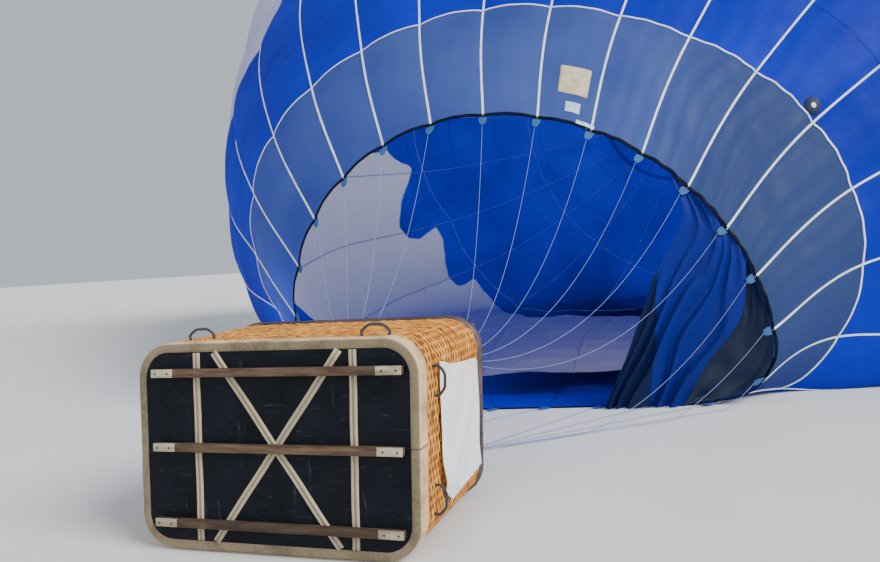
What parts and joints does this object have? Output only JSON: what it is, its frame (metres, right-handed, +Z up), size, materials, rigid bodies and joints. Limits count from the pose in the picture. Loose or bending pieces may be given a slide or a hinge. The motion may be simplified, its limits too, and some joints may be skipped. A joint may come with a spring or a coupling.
{
  "type": "hot air balloon",
  "caption": "Hot air balloon laid out for inflation: wicker basket on its side, gimballed double burner, flying wires and a gored envelope filled with cold air",
  "frame": {"origin": "on the ground, under the middle of the balloon's length and width", "axes": "+Y from the basket's underside to the envelope's crown, +X to the right seen from the basket, +Z up"},
  "size_m": [19.9344, 21.9758, 14.4164],
  "materials": {
    "blue_fabric": "coated ripstop nylon, matte",
    "mouth_band_fabric": "heat-resistant coated fabric, matte",
    "wicker": "varnished woven cane",
    "floor_board": "dark painted plywood",
    "suede": "raw suede",
    "weathered_wood": "worn bare timber",
    "leather": "padded dark leather",
    "rope": "braided rope",
    "frame_steel": "brushed",
    "padded_sleeve": "padded sleeve",
    "cylinder_metal": "brushed",
    "banner_cloth": "white cloth",
    "cable": "stranded wire",
    "webbing": "woven tape"
  },
  "bodies": {
    "root": {"mouth_band_1": "mouth_band_fabric", "mouth_band_2": "mouth_band_fabric", "mouth_band_3": "mouth_band_fabric", "mouth_band_4": "mouth_band_fabric", "gore_pair_1": "blue_fabric", "gore_pair_2": "blue_fabric", "gore_pair_3": "blue_fabric", "gore_pair_4": "blue_fabric", "gore_pair_5": "blue_fabric", "gore_pair_6": "blue_fabric", "gore_pair_7": "blue_fabric", "gore_pair_8": "blue_fabric", "gore_pair_9": "blue_fabric", "gore_pair_10": "blue_fabric", "gore_pair_11": "blue_fabric", "gore_pair_12": "blue_fabric", "crown_ring": "webbing", "floor_board": "floor_board", "wicker_walls": "wicker", "suede_band": "suede", "padded_rim": "leather", "batten_left": "suede", "batten_right": "suede", "batten_cross": "suede", "runner_top": "weathered_wood", "runner_middle": "weathered_wood", "runner_low": "weathered_wood", "handle_top_left": "rope", "handle_top_right": "rope", "handle_under_left": "rope", "handle_under_right": "rope", "handle_end_right_high": "rope", "handle_end_right_low": "rope", "handle_end_left_high": "rope", "handle_end_left_low": "rope", "banner": "banner_cloth", "fuel_cylinder_1": "cylinder_metal", "fuel_cylinder_2": "cylinder_metal", "fuel_cylinder_3": "cylinder_metal", "fuel_cylinder_4": "cylinder_metal", "upright_1": "padded_sleeve", "upright_2": "padded_sleeve", "upright_3": "padded_sleeve", "upright_4": "padded_sleeve", "load_frame": "frame_steel", "flying_wires_1": "cable", "flying_wires_2": "cable", "flying_wires_3": "cable", "flying_wires_4": "cable"},
    "gimbal": {"gimbal_ring": "frame_steel"},
    "burner": {"burner_block": "frame_steel", "burner_can_left": "frame_steel", "burner_coil_left": "frame_steel", "burner_can_right": "frame_steel", "burner_coil_right": "frame_steel"},
    "vent": {"parachute_vent": "blue_fabric"}
  },
  "joints": [
    {"name": "gimbal_tilt", "type": "hinge", "parent": "root", "child": "gimbal", "pos_m": [-1.86905, -8.7853, 0.4486], "axis": [1, 0, 0], "range_deg": [-20, 20]},
    {"name": "burner_tilt", "type": "hinge", "parent": "gimbal", "child": "burner", "pos_m": [-1.86905, -8.7853, 0.4486], "axis": [0, 0, 1], "range_deg": [-20, 20]},
    {"name": "vent_pull", "type": "slide", "parent": "root", "child": "vent", "axis": [0, -1, 0], "range_m": [0, 1.2]}
  ]
}
